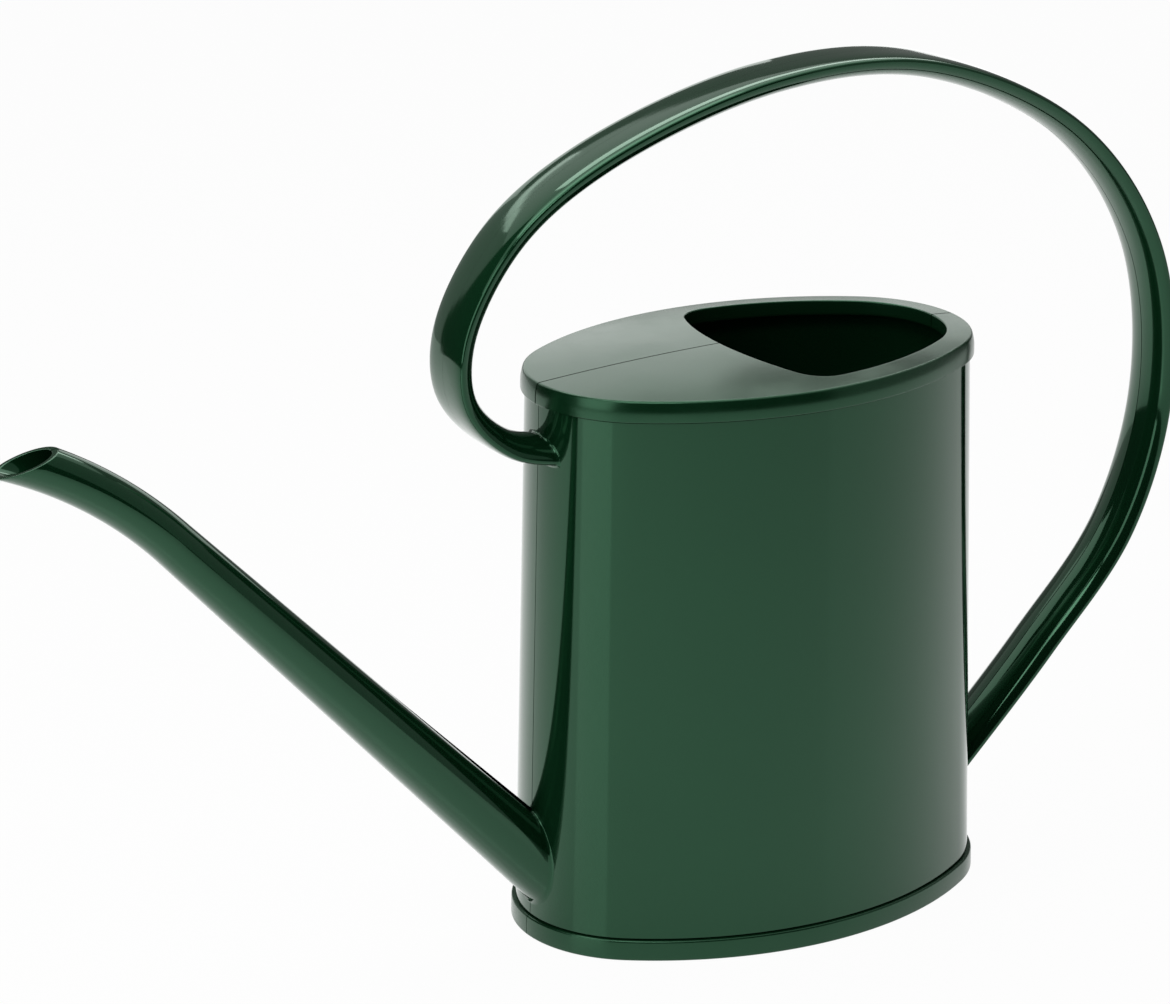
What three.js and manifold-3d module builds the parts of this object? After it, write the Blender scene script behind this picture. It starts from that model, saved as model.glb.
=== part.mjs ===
// Watering can: an oval, slightly flared body of moulded plastic with a proud band at the
// foot and at the rim, a crowned cover with a filling opening behind, a long tapered spout
// and one large loop handle. Every piece is moulded as a left and a right half, and the
// halves meet on the can's middle plane, y = 0. Millimetres, +Z up, spout towards -X.
import * as THREE from 'three';
import { mergeVertices } from 'three/addons/utils/BufferGeometryUtils.js';
import Module from 'manifold-3d';

const wasm = await Module();
wasm.setup();

// Driving sizes of the body.
const BODY_HEIGHT = 176.8;
const RIM_LENGTH = 148;
const RIM_WIDTH = 96;
const END_ROUNDNESS = 0.758; // end radius of the oval for a half width of 1
const FLARE = 0.053; // how much longer and wider the foot is than the rim
const WALL = 2.4;
const BAND_HEIGHT = 6.5;
const BAND_PROUD = 1.2;
const BAND_EDGE_RADIUS = 1.4; // of the cover's edge; the other edges have half of it
const REBATE_DEPTH = 1;

// Base.
const FLOOR_THICKNESS = 2.4;
const FOOT_RECESS = 1.5;
const FOOT_RING_WIDTH = 8;

// Cover and its filling opening.
const DECK_THICKNESS = 2.2;
const DECK_CROWN = 2.9;
const DECK_REACH = 63.3; // from the front of the rim to the opening
const OPENING_MARGIN = 8.5; // width of the deck beside and behind the opening
const OPENING_FRONT_RADIUS = 110;
const OPENING_CORNER_RADIUS = 11;
const COLLAR_THICKNESS = 1.6;
const COLLAR_DEPTH = 4.2;

// Spout.
const SPOUT_ROOT_HEIGHT = 26;
const SPOUT_ANGLE = 46.3; // degrees above level along the straight run
const SPOUT_RUN = 168; // length of the straight run outside the wall
const SPOUT_BEND = 31.5; // from each end of the bend to the crossing of its tangents
const SPOUT_TIP_ANGLE = 21.5;
const SPOUT_TIP_RUN = 12;
const SPOUT_ROOT_RADIUS = 10.3;
const SPOUT_NECK_RADIUS = 7;
const SPOUT_TIP_RADIUS = 6.65;
const SPOUT_ROOT_WALL = 2.4;
const SPOUT_TIP_WALL = 1.3;
const SPIGOT_WALL = 1.1;
const SPIGOT_LENGTH = 4;
const MOUTH_ANGLE = 15.6; // slope of the cut across the mouth, degrees
const MOUTH_SETBACK = 28.4; // from the end of the spout back to the top of the cut

// Handle.
const HANDLE_WIDTH = 20.4;
const HANDLE_FRONT_THICKNESS = 7.8;
const HANDLE_REAR_THICKNESS = 6.4;
const HANDLE_OUTER_SHARE = 0.33; // of the thickness, outside its widest line
const HANDLE_OUTER_SQUARENESS = 3.5; // exponent of its flat outer side, 2 being an ellipse
const HANDLE_INNER_SQUARENESS = 2; // of the round side towards the fingers
const HANDLE_WALL = 1.5;
const HANDLE_RISE = 84.3; // from the rim up to the middle of the grip
const HANDLE_FRONT_REACH = 27.6; // ahead of the wall
const HANDLE_REAR_REACH = 75; // behind the wall
const FRONT_FOOT_DROP = 20; // from the rim down to the front foot
const REAR_FOOT_HEIGHT = 29;
const STUB_LENGTH = 8; // of the stubs on the wall, inside the handle's ends

// Fits.
const CLEARANCE = 0.3;
const OVERCUT = 20; // how far a cutting body runs past what it cuts

// Smoothness of the facets.
const OVAL_STEPS = 72;
const DECK_STEPS = 4;
const DECK_CENTRE = 0.02; // of the deck's size, where its crown ends in a flat
const EDGE_STEPS = 3;
const OPENING_ARC_STEPS = 10;
const SPOUT_STEPS = 16;
const SPOUT_SIDES = 20;
const HANDLE_STEPS = 46;
const HANDLE_SIDES = 20;

const green = { color: 0x2d4a38, roughness: 0.16, metalness: 0 };
const rimGreen = { color: 0x2f4c3a, roughness: 0.22, metalness: 0 };

const radians = THREE.MathUtils.degToRad;
const lerp = THREE.MathUtils.lerp;

// ---- solids ----

function solidOf(geometry) {
  geometry.deleteAttribute('normal');
  geometry.deleteAttribute('uv');
  const merged = mergeVertices(geometry, 1e-4);
  return new wasm.Manifold(new wasm.Mesh({
    numProp: 3,
    vertProperties: new Float32Array(merged.attributes.position.array),
    triVerts: new Uint32Array(merged.index.array),
  }));
}

function geometryOf(solid) {
  const { vertProperties, triVerts } = solid.getMesh();
  const geometry = new THREE.BufferGeometry();
  geometry.setAttribute('position', new THREE.BufferAttribute(vertProperties, 3));
  geometry.setIndex(new THREE.BufferAttribute(triVerts, 1));
  geometry.computeVertexNormals();
  return geometry;
}

// A closed body through a row of rings with equally many points. The first ring's points
// run counter-clockwise when looked at from the side of the last ring.
function loft(rings) {
  const count = rings[0].length;
  const centre = (ring) => ring.reduce((sum, p) => sum.add(p), new THREE.Vector3())
    .divideScalar(count);
  const points = [...rings.flat(), centre(rings[0]), centre(rings.at(-1))];
  const index = [];
  for (let r = 0; r < rings.length - 1; r++) {
    for (let i = 0; i < count; i++) {
      const a = r * count + i;
      const b = r * count + (i + 1) % count;
      index.push(a, b, b + count, a, b + count, a + count);
    }
  }
  const bottom = rings.length * count;
  const last = bottom - count;
  for (let i = 0; i < count; i++) {
    const next = (i + 1) % count;
    index.push(bottom, next, i, bottom + 1, last + i, last + next);
  }
  const geometry = new THREE.BufferGeometry().setFromPoints(points);
  geometry.setIndex(index);
  return solidOf(geometry);
}

// ---- the body's oval ----

// Two round ends and two flatter sides, tangent to each other. endX is where the ends have
// their centres, and drop how far the centre of each side lies beyond the middle.
function ovalArcs(halfLength, halfWidth, endRadius) {
  const endX = halfLength - endRadius;
  const sideRadius = (endX ** 2 + halfWidth ** 2 - endRadius ** 2) / (2 * (halfWidth - endRadius));
  return { endX, sideRadius, drop: sideRadius - halfWidth };
}

// The oval's outline from the middle of one end.
function ovalPath(halfLength, halfWidth, endRadius) {
  const { endX, sideRadius, drop } = ovalArcs(halfLength, halfWidth, endRadius);
  const join = Math.atan2(drop, endX);
  const path = new THREE.Path();
  path.absarc(endX, 0, endRadius, 0, join);
  path.absarc(0, -drop, sideRadius, join, Math.PI - join);
  path.absarc(-endX, 0, endRadius, Math.PI - join, Math.PI + join);
  path.absarc(0, drop, sideRadius, Math.PI + join, 2 * Math.PI - join);
  path.absarc(endX, 0, endRadius, -join, 0);
  return path;
}

const flareAt = (z) => 1 + FLARE * (1 - z / BODY_HEIGHT);

// The band's outline at height z, moved inwards by inset.
function ovalRing(z, inset, share = 1) {
  const grown = flareAt(z);
  const halfWidth = RIM_WIDTH / 2 * grown;
  const path = ovalPath(
    RIM_LENGTH / 2 * grown - inset,
    halfWidth - inset,
    END_ROUNDNESS * halfWidth - inset,
  );
  return path.getSpacedPoints(OVAL_STEPS).slice(0, OVAL_STEPS)
    .map((p) => new THREE.Vector3(p.x * share, p.y * share, z));
}

const ovalLoft = (profile) => loft(profile.map(([z, inset]) => ovalRing(z, inset)));
const wallEndX = (z) => RIM_LENGTH / 2 * flareAt(z) - BAND_PROUD;

// Everything inside the wall's outer face, grown by the clearance of what seats on it.
const wallEnvelope = ovalLoft([
  [-OVERCUT, BAND_PROUD - CLEARANCE],
  [BODY_HEIGHT + OVERCUT, BAND_PROUD - CLEARANCE],
]);
const bodyHollow = ovalLoft([
  [-OVERCUT, BAND_PROUD + WALL],
  [BODY_HEIGHT + OVERCUT, BAND_PROUD + WALL],
]);

const bandInset = BAND_PROUD + REBATE_DEPTH;
const lipInset = bandInset - CLEARANCE;
const floorTop = FOOT_RECESS + FLOOR_THICKNESS;

// ---- paths and tubes in the middle plane ----

const inPlane = (x, z) => new THREE.Vector3(x, 0, z);

// Rings square to a path in the plane y = 0. pointAt(t, angle) gives the section's points:
// how far to the path's right, which is inside the handle's loop, and how far along y.
function pathRings(path, steps, sides, pointAt, from = 0, to = 1) {
  const rings = [];
  for (let s = 0; s <= steps; s++) {
    const t = lerp(from, to, s / steps);
    const centre = path.getPointAt(t);
    const along = path.getTangentAt(t);
    const across = new THREE.Vector3(along.z, 0, -along.x);
    const ring = [];
    for (let i = 0; i < sides; i++) {
      const [inwards, y] = pointAt(t, 2 * Math.PI * i / sides);
      ring.push(centre.clone().addScaledVector(across, inwards).setY(y));
    }
    rings.push(ring);
  }
  return rings;
}

// ---- spout ----

const spoutUp = radians(SPOUT_ANGLE);
const tipUp = radians(SPOUT_TIP_ANGLE);
const spoutAlong = inPlane(-Math.cos(spoutUp), Math.sin(spoutUp));
const tipAlong = inPlane(-Math.cos(tipUp), Math.sin(tipUp));
const spoutRoot = inPlane(-wallEndX(SPOUT_ROOT_HEIGHT), SPOUT_ROOT_HEIGHT);
const rootInside = (SPOUT_ROOT_RADIUS + WALL) / Math.cos(spoutUp) + SPIGOT_LENGTH;

const bendStart = spoutRoot.clone().addScaledVector(spoutAlong, SPOUT_RUN);
const bendMiddle = bendStart.clone().addScaledVector(spoutAlong, SPOUT_BEND);
const bendEnd = bendMiddle.clone().addScaledVector(tipAlong, SPOUT_BEND);
const spoutEnd = bendEnd.clone().addScaledVector(tipAlong, SPOUT_TIP_RUN);
const spoutStart = spoutRoot.clone().addScaledVector(spoutAlong, -rootInside);

const spoutStraight = new THREE.LineCurve3(spoutStart, bendStart);
const spoutPath = new THREE.CurvePath();
spoutPath.add(spoutStraight);
spoutPath.add(new THREE.QuadraticBezierCurve3(bendStart, bendMiddle, bendEnd));
spoutPath.add(new THREE.LineCurve3(bendEnd, spoutEnd));

const spoutLength = spoutPath.getLength();
const rootAt = rootInside / spoutLength;
const neckAt = spoutStraight.getLength() / spoutLength;

function spoutRadius(t) {
  if (t > neckAt) {
    return lerp(SPOUT_NECK_RADIUS, SPOUT_TIP_RADIUS, (t - neckAt) / (1 - neckAt));
  }
  return lerp(SPOUT_ROOT_RADIUS, SPOUT_NECK_RADIUS, (t - rootAt) / (neckAt - rootAt));
}

const spoutWall = (t) => lerp(SPOUT_ROOT_WALL, SPOUT_TIP_WALL, (t - rootAt) / (1 - rootAt));

// A tube along the spout's path, thinner than its outer face by inset(t).
function spoutTube(inset, from = 0, to = 1, steps = SPOUT_STEPS) {
  const pointAt = (t, angle) => {
    const radius = spoutRadius(t) - inset(t);
    return [radius * Math.cos(angle), radius * Math.sin(angle)];
  };
  return loft(pathRings(spoutPath, steps, SPOUT_SIDES, pointAt, from, to));
}

const spigotInset = (t) => spoutWall(t) - SPIGOT_WALL;
const wallHoleInset = (t) => spigotInset(t) - CLEARANCE;

// ---- handle ----

// Stations of the loop. The front ones follow the front wall and the rim, the top one the
// grip, and the rear ones the rear wall, from the grip down to the foot.
function handleStations() {
  const footZ = BODY_HEIGHT - FRONT_FOOT_DROP;
  const topZ = BODY_HEIGHT + HANDLE_RISE;
  const frontX = -wallEndX(footZ);
  const rearX = wallEndX(REAR_FOOT_HEIGHT);
  const front = (reach, rise) => inPlane(
    frontX - reach * HANDLE_FRONT_REACH,
    lerp(footZ, topZ, rise),
  );
  const rear = (reach, rise) => inPlane(
    rearX + reach * HANDLE_REAR_REACH,
    lerp(REAR_FOOT_HEIGHT, topZ, rise),
  );
  return [
    front(-0.255, -0.013),
    front(0.451, 0.04),
    front(0.942, 0.179),
    front(0.964, 0.365),
    front(0.395, 0.622),
    front(-0.649, 0.808),
    inPlane(lerp(frontX, rearX, 0.526), lerp(footZ, topZ, 0.979)),
    inPlane(lerp(frontX, rearX, 0.886), lerp(footZ, topZ, 0.962)),
    rear(0.5, 0.867),
    rear(0.89, 0.692),
    rear(0.974, 0.485),
    rear(0.803, 0.296),
    rear(0.408, 0.143),
    rear(-0.106, -0.028),
  ];
}

const handlePath = new THREE.CatmullRomCurve3(handleStations(), false, 'centripetal');

// A sine or cosine drawn out towards the corners of a squarer section.
const squared = (wave, squareness) => Math.sign(wave) * Math.abs(wave) ** (2 / squareness);

// A bar along the handle's path, smaller than its outer face by inset all round. Its section
// is flat outside and round inside, and the path runs through the middle of the thickness.
function handleBar(inset) {
  const pointAt = (t, angle) => {
    const thickness = lerp(HANDLE_FRONT_THICKNESS, HANDLE_REAR_THICKNESS, t);
    const inner = Math.cos(angle) > 0;
    const share = inner ? 1 - HANDLE_OUTER_SHARE : HANDLE_OUTER_SHARE;
    const squareness = inner ? HANDLE_INNER_SQUARENESS : HANDLE_OUTER_SQUARENESS;
    const widestLine = (HANDLE_OUTER_SHARE - 0.5) * thickness;
    const depth = share * thickness - inset;
    return [
      widestLine + depth * squared(Math.cos(angle), squareness),
      (HANDLE_WIDTH / 2 - inset) * squared(Math.sin(angle), squareness),
    ];
  };
  return loft(pathRings(handlePath, HANDLE_STEPS, HANDLE_SIDES, pointAt));
}

// The stubs on the wall that the hollow ends of the handle close round.
function makeStubs() {
  const inset = BAND_PROUD - STUB_LENGTH;
  const reach = ovalLoft([[0, inset], [BODY_HEIGHT, inset]]);
  return handleBar(HANDLE_WALL + CLEARANCE).intersect(reach);
}

// ---- whole pieces, before they are split into halves ----

// Height and inset of a quarter round from an upright face to a level one at height top.
function edgeArc(top, radius) {
  const profile = [];
  for (let i = 0; i <= EDGE_STEPS; i++) {
    const angle = Math.PI / 2 * i / EDGE_STEPS;
    profile.push([top - radius + radius * Math.sin(angle), radius - radius * Math.cos(angle)]);
  }
  return profile;
}

function makeWall() {
  const seat = floorTop + CLEARANCE;
  const footShoulder = BAND_HEIGHT + CLEARANCE;
  const rimShoulder = BODY_HEIGHT - BAND_HEIGHT - CLEARANCE;
  const top = BODY_HEIGHT - DECK_THICKNESS - CLEARANCE;
  const outside = ovalLoft([
    [seat, bandInset],
    [footShoulder, bandInset],
    [footShoulder, BAND_PROUD],
    [rimShoulder, BAND_PROUD],
    [rimShoulder, bandInset],
    [top, bandInset],
  ]);
  return outside.add(makeStubs()).subtract(bodyHollow)
    .subtract(spoutTube(wallHoleInset, 0, neckAt, 1));
}

function makeBase() {
  const round = BAND_EDGE_RADIUS / 2;
  const lowerEdge = edgeArc(0, round).map(([z, inset]) => [-z, inset]).reverse();
  const outside = ovalLoft([...lowerEdge, ...edgeArc(BAND_HEIGHT, round)]);
  const pocket = ovalLoft([[floorTop, lipInset], [BAND_HEIGHT + OVERCUT, lipInset]]);
  const recess = ovalLoft([[-OVERCUT, FOOT_RING_WIDTH], [FOOT_RECESS, FOOT_RING_WIDTH]]);
  return outside.subtract(pocket).subtract(recess);
}

// Rings that climb from the edge of the deck to its middle over a gentle crown.
function crownRings(edgeZ, inset) {
  const rings = [];
  for (let i = 1; i <= DECK_STEPS; i++) {
    const share = Math.max(1 - i / DECK_STEPS, DECK_CENTRE);
    const ring = ovalRing(BODY_HEIGHT, inset, share);
    rings.push(ring.map((p) => p.setZ(edgeZ + DECK_CROWN * (1 - share ** 2))));
  }
  return rings;
}

function domedLoft(profile) {
  const rings = profile.map(([z, inset]) => ovalRing(z, inset));
  const [edgeZ, inset] = profile.at(-1);
  return loft([...rings, ...crownRings(edgeZ, inset)]);
}

// Where two circles cross, taking the crossing with the larger y.
function circlesMeet(a, radiusA, b, radiusB) {
  const apart = b.clone().sub(a);
  const distance = apart.length();
  const along = (distance ** 2 + radiusA ** 2 - radiusB ** 2) / (2 * distance);
  const aside = Math.sqrt(radiusA ** 2 - along ** 2);
  const unit = apart.divideScalar(distance);
  const left = new THREE.Vector2(-unit.y, unit.x);
  const sign = left.y > 0 ? 1 : -1;
  return a.clone().addScaledVector(unit, along).addScaledVector(left, sign * aside);
}

// The opening follows the rim at the sides and the rear, and a shallow arc in front.
function openingOutline(grow = 0) {
  const margin = OPENING_MARGIN - grow;
  const halfWidth = RIM_WIDTH / 2;
  const rimEnd = END_ROUNDNESS * halfWidth;
  const rim = ovalArcs(RIM_LENGTH / 2, halfWidth, rimEnd);
  const frontX = DECK_REACH - RIM_LENGTH / 2 - grow;
  const frontRadius = OPENING_FRONT_RADIUS + grow;
  const cornerRadius = OPENING_CORNER_RADIUS + grow;
  const frontCentre = new THREE.Vector2(frontX + frontRadius, 0);
  const sideCentre = new THREE.Vector2(0, -rim.drop);
  const sideRadius = rim.sideRadius - margin;
  const corner = circlesMeet(
    frontCentre, frontRadius - cornerRadius, sideCentre, sideRadius - cornerRadius,
  );
  const endJoin = Math.atan2(rim.drop, rim.endX);
  const sideJoin = Math.atan2(corner.y + rim.drop, corner.x);
  const frontJoin = Math.atan2(corner.y, corner.x - frontCentre.x);
  const shape = new THREE.Shape();
  shape.absarc(rim.endX, 0, rimEnd - margin, -endJoin, endJoin);
  shape.absarc(0, -rim.drop, sideRadius, endJoin, sideJoin);
  shape.absarc(corner.x, corner.y, cornerRadius, sideJoin, frontJoin);
  shape.absarc(frontCentre.x, 0, frontRadius, frontJoin, 2 * Math.PI - frontJoin);
  shape.absarc(corner.x, -corner.y, cornerRadius, -frontJoin, -sideJoin);
  shape.absarc(0, rim.drop, sideRadius, -sideJoin, -endJoin);
  return shape;
}

function openingPrism(grow, bottom, top) {
  const prism = new THREE.ExtrudeGeometry(openingOutline(grow), {
    depth: top - bottom,
    bevelEnabled: false,
    curveSegments: OPENING_ARC_STEPS,
  });
  prism.translate(0, 0, bottom);
  return solidOf(prism);
}

function makeCover() {
  const bottom = BODY_HEIGHT - BAND_HEIGHT;
  const outside = domedLoft([[bottom, 0], ...edgeArc(BODY_HEIGHT, BAND_EDGE_RADIUS)]);
  const underside = domedLoft([
    [bottom - OVERCUT, lipInset],
    [BODY_HEIGHT - DECK_THICKNESS, lipInset],
  ]);
  const collarBottom = BODY_HEIGHT - COLLAR_DEPTH;
  const collar = openingPrism(COLLAR_THICKNESS, collarBottom, BODY_HEIGHT + OVERCUT);
  const hole = openingPrism(0, collarBottom - OVERCUT, BODY_HEIGHT + OVERCUT);
  return outside.subtract(underside).add(collar.intersect(outside)).subtract(hole);
}

// All that lies above the sloping cut across the mouth.
function mouthCutter() {
  const size = SPOUT_RUN;
  const box = new THREE.BoxGeometry(size, size, size);
  box.translate(0, 0, size / 2);
  box.rotateY(-radians(MOUTH_ANGLE));
  const top = spoutEnd.clone().addScaledVector(tipAlong, -MOUTH_SETBACK);
  const normal = inPlane(Math.sin(tipUp), Math.cos(tipUp));
  top.addScaledVector(normal, SPOUT_TIP_RADIUS);
  box.translate(top.x, 0, top.z);
  return solidOf(box);
}

// The spigot runs through the wall and a little way into the can.
function spigotReach() {
  const inset = BAND_PROUD + WALL + SPIGOT_LENGTH / 2;
  const inner = ovalLoft([[-OVERCUT, inset], [BODY_HEIGHT + OVERCUT, inset]]);
  const outer = ovalLoft([
    [-OVERCUT, BAND_PROUD - REBATE_DEPTH],
    [BODY_HEIGHT + OVERCUT, BAND_PROUD - REBATE_DEPTH],
  ]);
  return outer.subtract(inner);
}

function makeSpout() {
  const outside = spoutTube(() => 0).subtract(wallEnvelope);
  const spigot = spoutTube(spigotInset, 0, 2 * rootAt, 1).intersect(spigotReach());
  const bore = spoutTube(spoutWall);
  return outside.add(spigot).subtract(bore).subtract(mouthCutter());
}

function makeHandle() {
  return handleBar(0).subtract(handleBar(HANDLE_WALL)).subtract(wallEnvelope);
}

// ---- halves ----

// The half space on one side of the middle plane, half a clearance away from it.
function halfSpace(side) {
  const size = 2 * (RIM_LENGTH + SPOUT_RUN + HANDLE_REAR_REACH);
  const box = new THREE.BoxGeometry(size, size, size);
  box.translate(0, side * (size + CLEARANCE) / 2, 0);
  return solidOf(box);
}

const leftSide = halfSpace(1);
const rightSide = halfSpace(-1);

function addHalves(group, name, whole, look) {
  for (const [word, side] of [['left', leftSide], ['right', rightSide]]) {
    const mesh = new THREE.Mesh(
      geometryOf(whole.intersect(side)),
      new THREE.MeshStandardMaterial(look),
    );
    mesh.name = `${name}_${word}`;
    group.add(mesh);
  }
}

// The origin is under the middle of the whole can's outline.
function makeCan() {
  const can = new THREE.Group();
  addHalves(can, 'base', makeBase(), rimGreen);
  addHalves(can, 'body_wall', makeWall(), green);
  addHalves(can, 'cover', makeCover(), rimGreen);
  addHalves(can, 'spout', makeSpout(), green);
  addHalves(can, 'handle', makeHandle(), green);
  const box = new THREE.Box3().setFromObject(can);
  can.position.x = -(box.min.x + box.max.x) / 2;
  return can;
}

export default makeCan();
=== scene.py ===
# A watering can in dark green moulded plastic: oval body with a proud band at foot and rim,
# crowned cover with a filling opening, long tapered spout and one large loop handle.
# Every piece is a left and a right half that meet on the middle plane.
import math

import bmesh
import bpy
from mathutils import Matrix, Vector


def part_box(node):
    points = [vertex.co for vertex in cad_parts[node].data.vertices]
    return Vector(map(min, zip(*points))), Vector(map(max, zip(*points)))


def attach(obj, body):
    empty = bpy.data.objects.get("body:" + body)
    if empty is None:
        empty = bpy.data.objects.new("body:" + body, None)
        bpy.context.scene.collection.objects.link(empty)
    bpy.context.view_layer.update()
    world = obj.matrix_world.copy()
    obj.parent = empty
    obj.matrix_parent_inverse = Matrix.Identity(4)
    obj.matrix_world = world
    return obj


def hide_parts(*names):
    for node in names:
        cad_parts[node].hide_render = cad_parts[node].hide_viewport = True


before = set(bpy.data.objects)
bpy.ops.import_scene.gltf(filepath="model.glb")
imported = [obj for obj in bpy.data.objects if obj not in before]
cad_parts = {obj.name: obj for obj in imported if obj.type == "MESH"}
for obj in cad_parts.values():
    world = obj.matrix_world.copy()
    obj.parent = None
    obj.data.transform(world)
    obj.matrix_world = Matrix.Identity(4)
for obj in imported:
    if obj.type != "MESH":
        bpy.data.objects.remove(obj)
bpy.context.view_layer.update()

MM = 0.001

# ---- sizes of the can ----

BODY_HEIGHT = 176.8 * MM
RIM_LENGTH = 148 * MM
RIM_WIDTH = 96 * MM
END_ROUNDNESS = 0.758
FLARE = 0.053
WALL = 2.4 * MM
BAND_HEIGHT = 6.5 * MM
BAND_PROUD = 1.2 * MM
BAND_EDGE_RADIUS = 1 * MM
RIM_SWELL_RADIUS = 12 * MM  # the rim band leans in before its edge is rounded
RIM_SWELL = math.radians(17)
SMALL_RADIUS = 0.7 * MM
REBATE_DEPTH = 1 * MM
FLOOR_THICKNESS = 2.4 * MM
FOOT_RECESS = 1.5 * MM
FOOT_RING_WIDTH = 8 * MM
SHOULDER_EDGE = 0.15 * MM
FLOOR_GATHER = 0.98  # how far the floor's rows draw in on their way to the joint

DECK_THICKNESS = 2.2 * MM
DECK_CROWN = 2.9 * MM
DECK_EDGE_SLOPE = math.radians(6)
DECK_REACH = 63.3 * MM
OPENING_MARGIN = 8.5 * MM
OPENING_FRONT_RADIUS = 80 * MM
OPENING_CORNER_RADIUS = 12 * MM
OPENING_EDGE_RADIUS = 0.5 * MM
COLLAR_THICKNESS = 1.6 * MM
COLLAR_DEPTH = 4.2 * MM

SPOUT_ROOT_HEIGHT = 26 * MM
SPOUT_ANGLE = math.radians(46.3)
SPOUT_RUN = 168 * MM
SPOUT_BEND = 31.5 * MM
SPOUT_TIP_ANGLE = math.radians(21.5)
SPOUT_TIP_RUN = 12 * MM
SPOUT_ROOT_RADIUS = 10.3 * MM
SPOUT_NECK_RADIUS = 7 * MM
SPOUT_TIP_RADIUS = 6.65 * MM
SPOUT_ROOT_WALL = 2.4 * MM
SPOUT_TIP_WALL = 1.3 * MM
SPOUT_FILLET = 1.1 * MM
ROOT_INSIDE = 30 * MM  # how far the spout's line is carried on inside the can
MOUTH_ANGLE = math.radians(15.6)
MOUTH_SETBACK = 28.4 * MM
LIP_RADIUS = 0.35 * MM

HANDLE_WIDTH = 20.4 * MM
HANDLE_FRONT_THICKNESS = 7.8 * MM
HANDLE_REAR_THICKNESS = 6.4 * MM
HANDLE_OUTER_SHARE = 0.22  # of the thickness, outside its widest line
HANDLE_OUTER_SQUARENESS = 2.9
HANDLE_INNER_SQUARENESS = 2.0
HANDLE_WALL = 1.5 * MM
HANDLE_RISE = 84.3 * MM
HANDLE_FRONT_REACH = 27.6 * MM
HANDLE_REAR_REACH = 75 * MM
FRONT_FOOT_DROP = 20 * MM
REAR_FOOT_HEIGHT = 29 * MM
HANDLE_FILLET = 0.9 * MM

# The loop's stations. At the front and the rear, how far out of the wall as a share of the reach;
# over the grip, how far back as a share of the way; then how high, as a share of the rise.
FRONT_STATIONS = [(-0.255, -0.013), (0.451, 0.04), (0.942, 0.179), (0.964, 0.365),
                  (0.395, 0.622), (-0.649, 0.808)]
GRIP_STATIONS = [(0.526, 0.979), (0.886, 0.962)]
REAR_STATIONS = [(0.5, 0.867), (0.89, 0.692), (0.974, 0.485), (0.803, 0.296), (0.408, 0.143),
                 (-0.106, -0.028)]

SEAM = 0.3 * MM  # the joint between two halves
COVER_SEAM = 0.5 * MM  # the same joint across the cover, with its worn edges
OUTER_SEAM_SHARE = 0.15  # of the joint, left open on the loop's outer face
GROOVE_DEPTH = 0.5 * MM  # behind this depth of a joint its halves come together
JOINT_SLIT = 0.01 * MM  # what is left open between them there
JOINT_FACING = 0.9  # a face that points this squarely across may be part of a joint
SINK = 0.4 * MM  # how far a joined end runs into the wall's skin
CUT_MARGIN = 20 * MM  # how far the block that trims the loop stands past the can

# ---- how finely the surfaces are made ----

RIM_STEPS = 220
DECK_ROWS = 26
WALL_ROWS = 44
FLOOR_ROWS = 8
COLLAR_ROWS = 3
ARC_STEPS = 6
SPOUT_SIDES = 48
SPOUT_ROWS = 130
BEND_STEPS = 60
FILLET_STEPS = 8
HANDLE_SIDES = 40
HANDLE_LINE_STEPS = 200
HANDLE_STEP = 2 * MM
HANDLE_JOINT_STEP = 0.18 * MM
HANDLE_JOINT_REACH = 6 * MM  # how near the wall the loop's stations stand close together
HALVINGS = 26  # of a span, when a place on it is looked for
MERGE = 1e-6  # the loop's points that are nearer than this are one
WELD = 1e-7  # the same for the other pieces
SHARP_FROM = math.radians(34)  # edges that turn more than this stay sharp

# The can's upright axis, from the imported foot.
foot_low, foot_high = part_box("base_left")
AXIS_X = (foot_low.x + foot_high.x) / 2


def lerp(a, b, t):
    return a + (b - a) * t


# ---- the body's oval ----

END_RADIUS = END_ROUNDNESS * RIM_WIDTH / 2
END_X = RIM_LENGTH / 2 - END_RADIUS
SIDE_RADIUS = (END_X**2 + (RIM_WIDTH / 2) ** 2 - END_RADIUS**2) / (RIM_WIDTH - 2 * END_RADIUS)
SIDE_DROP = SIDE_RADIUS - RIM_WIDTH / 2
JOIN = math.atan2(SIDE_DROP, END_X)


def flare_at(z):
    return 1 + FLARE * (1 - z / BODY_HEIGHT)


def rim_half():
    """(point, normal) pairs along half of the rim, from the rear round the left to the front."""
    end_run = END_RADIUS * JOIN
    side_run = SIDE_RADIUS * (math.pi - 2 * JOIN)
    pairs = []
    for i in range(RIM_STEPS + 1):
        run = (2 * end_run + side_run) * i / RIM_STEPS
        if run <= end_run:
            angle, radius, centre = run / END_RADIUS, END_RADIUS, (END_X, 0)
        elif run < end_run + side_run:
            angle = JOIN + (run - end_run) / SIDE_RADIUS
            radius, centre = SIDE_RADIUS, (0, -SIDE_DROP)
        else:
            angle = math.pi - JOIN + (run - end_run - side_run) / END_RADIUS
            radius, centre = END_RADIUS, (-END_X, 0)
        normal = Vector((math.cos(angle), math.sin(angle)))
        pairs.append((Vector(centre) + normal * radius, normal))
    return pairs


RIM = rim_half()


def on_oval(column, z, inset):
    """A point of the left half, inset from the band's outline at height z."""
    point, normal = RIM[column]
    flat = point * flare_at(z) - normal * inset
    return Vector((flat.x, max(flat.y, SEAM / 2), z))


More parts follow.
